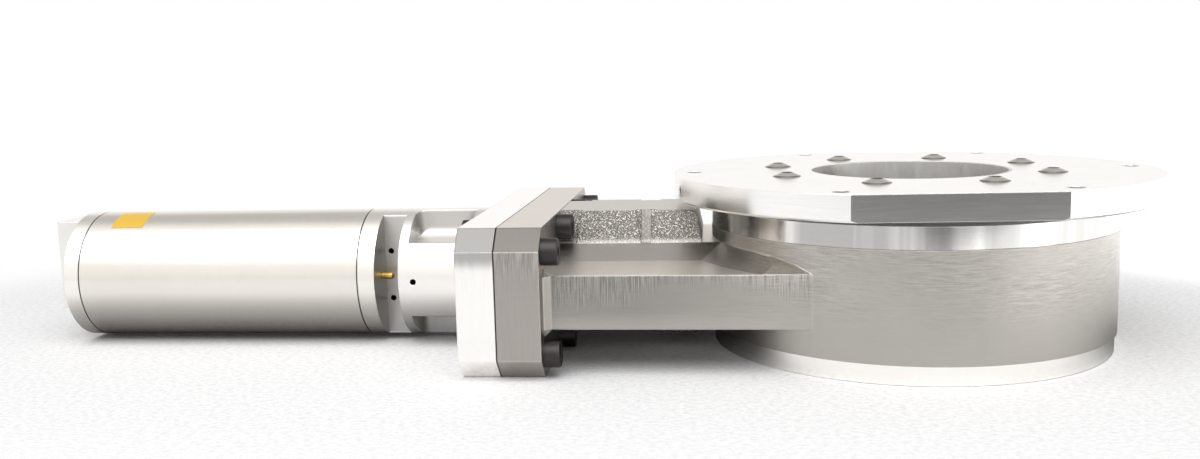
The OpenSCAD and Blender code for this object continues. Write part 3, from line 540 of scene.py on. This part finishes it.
# Painted shade in reflections of the floor beside the object.
REFLECTED_FLOOR_SHADE = 0.70  # how much darker reflections show the floor beside the object
DIM_BEHIND, DIM_UNDER, BRIGHT_RIGHT = -0.45, -0.75, 0.9  # how reflections of the world differ from 1.0


def make_floor():
    """A pale paper-covered table, a little below the object's lowest face. It ends a short way in front of the object,
    and turns into the white background at a distance from it, brighter at the right. Reflections show it darker
    close to the object, as painted shade."""
    verts = [
        (x, front + (FLOOR_BACK - front) * j / FLOOR_ROWS, cad_lo.z - FLOOR_GAP)
        for j in range(FLOOR_ROWS + 1)
        for x, front in FLOOR_FRONT
    ]
    row = len(FLOOR_FRONT)
    faces = [
        (j * row + i, j * row + i + 1, (j + 1) * row + i + 1, (j + 1) * row + i)
        for j in range(FLOOR_ROWS)
        for i in range(row - 1)
    ]
    mesh = bpy.data.meshes.new("floor")
    mesh.from_pydata(verts, [], faces)
    floor = bpy.data.objects.new("floor", mesh)
    scene.collection.objects.link(floor)
    material, graph, shader, surface = new_material("floor_paper")
    where = graph.add("ShaderNodeTexCoord").outputs["Object"]
    links = graph.tree.links
    fibre = graph.noise(where, (330, 480, 1), 4.0, 0.75)
    links.new(graph.mix(graph.ramp(fibre, 0.30, 0.62), *FLOOR_PAPER), shader.inputs["Base Color"])
    bump = graph.add("ShaderNodeBump", {"Strength": 0.4, "Distance": 0.0006, "Height": fibre})
    links.new(bump.outputs[0], shader.inputs["Normal"])
    shader.inputs["Roughness"].default_value = 0.9
    shader.inputs["Specular IOR Level"].default_value = 0.1

    x, y, _ = graph.axes(where)
    middle, half = (cad_lo.x + cad_hi.x) / 2, (cad_hi.x - cad_lo.x) / 2 - 0.02
    beside = graph.math("MAXIMUM", graph.minus(graph.apart(x, middle), half), 0.0)
    away = graph.math("SQRT", graph.squares(beside, y))
    path = graph.add("ShaderNodeLightPath").outputs
    seen = graph.math("MAXIMUM", path["Is Camera Ray"], path["Is Glossy Ray"])
    seen = graph.math("MAXIMUM", seen, path["Is Transmission Ray"])
    strength = graph.ramp(x, 0.12, 0.26, 1.0, RIGHT_WHITE)
    white = graph.add("ShaderNodeEmission", {"Color": (1, 1, 1, 1), "Strength": strength}).outputs[0]
    black = graph.add("ShaderNodeEmission", {"Color": (0, 0, 0, 1), "Strength": 0.0}).outputs[0]
    far = graph.times(seen, graph.ramp(away, 0.13, 0.30))
    # Painted shade: reflections see the floor darker close to the object, blended towards black.
    near = graph.times(path["Is Glossy Ray"], graph.ramp(away, 0.015, 0.10, REFLECTED_FLOOR_SHADE, 0.0))
    paper = graph.blend(far, shader.outputs[0], white)
    links.new(graph.blend(near, paper, black), surface)
    mesh.materials.append(material)


def make_world():
    """White behind everything the camera sees, soft light on the object, and for its reflections a white that is
    dimmer high up behind and below, and brighter at the right."""
    world = bpy.data.worlds.new("studio")
    scene.world = world
    world.use_nodes = True
    graph = Graph(world.node_tree)
    path = graph.add("ShaderNodeLightPath").outputs
    x, y, z = graph.axes(graph.add("ShaderNodeTexCoord").outputs["Generated"])
    behind = graph.times(graph.times(graph.ramp(y, 0.15, 0.45), graph.ramp(z, 0.30, 0.55)), DIM_BEHIND)
    under = graph.times(graph.ramp(z, 0.02, -0.04), DIM_UNDER)
    right = graph.times(graph.ramp(x, 0.55, 0.95), BRIGHT_RIGHT)
    shine = graph.plus(graph.plus(graph.plus(behind, 1.0), under), right)
    glossy = graph.add("ShaderNodeBackground", {"Color": (1.0, 0.985, 0.965, 1), "Strength": shine}).outputs[0]
    light = graph.add("ShaderNodeBackground", {"Color": (1, 1, 1, 1), "Strength": 0.45}).outputs[0]
    white = graph.add("ShaderNodeBackground", {"Color": (1, 1, 1, 1), "Strength": 1.0}).outputs[0]
    seen = graph.math("MAXIMUM", path["Is Glossy Ray"], path["Is Transmission Ray"])
    final = graph.blend(path["Is Camera Ray"], graph.blend(seen, light, glossy), white)
    graph.add("ShaderNodeOutputWorld", {"Surface": final})


def make_lamp(name, place, target, size, power):
    data = bpy.data.lights.new(name, "AREA")
    data.shape = "RECTANGLE"
    data.size, data.size_y = size
    data.energy = power
    lamp = bpy.data.objects.new(name, data)
    scene.collection.objects.link(lamp)
    lamp.location = place
    lamp.rotation_euler = (Vector(target) - Vector(place)).to_track_quat("-Z", "Y").to_euler()


make_floor()
make_world()
make_lamp("softbox", (-0.2, -0.9, 1.5), (-0.17, -0.05, 0.0), (2.6, 1.6), 29.0)


# ---- Camera ---------------------------------------------------------------------------------

EYE = (-0.0992, -0.6063, 0.1454)
YAW, PITCH, ROLL = (math.radians(degrees) for degrees in (-6.07, -8.15, -1.42))
LENS_MM, SENSOR_MM = 33.93, 36.0


def make_camera():
    """A wide, low view from the front, nearly square to the length of the object."""
    forward = Vector((math.cos(PITCH) * math.sin(YAW), math.cos(PITCH) * math.cos(YAW), math.sin(PITCH)))
    level = Vector((math.cos(YAW), -math.sin(YAW), 0.0))
    upright = level.cross(forward)
    right = math.cos(ROLL) * level + math.sin(ROLL) * upright
    up = math.cos(ROLL) * upright - math.sin(ROLL) * level
    data = bpy.data.cameras.new("camera")
    data.sensor_fit = "HORIZONTAL"
    data.sensor_width = SENSOR_MM
    data.lens = LENS_MM
    data.clip_start = 0.01
    camera = bpy.data.objects.new("camera", data)
    scene.collection.objects.link(camera)
    turn = Matrix((right, up, -forward)).transposed().to_4x4()
    camera.matrix_world = Matrix.Translation(EYE) @ turn
    scene.camera = camera


make_camera()
scene.view_settings.view_transform = "Standard"
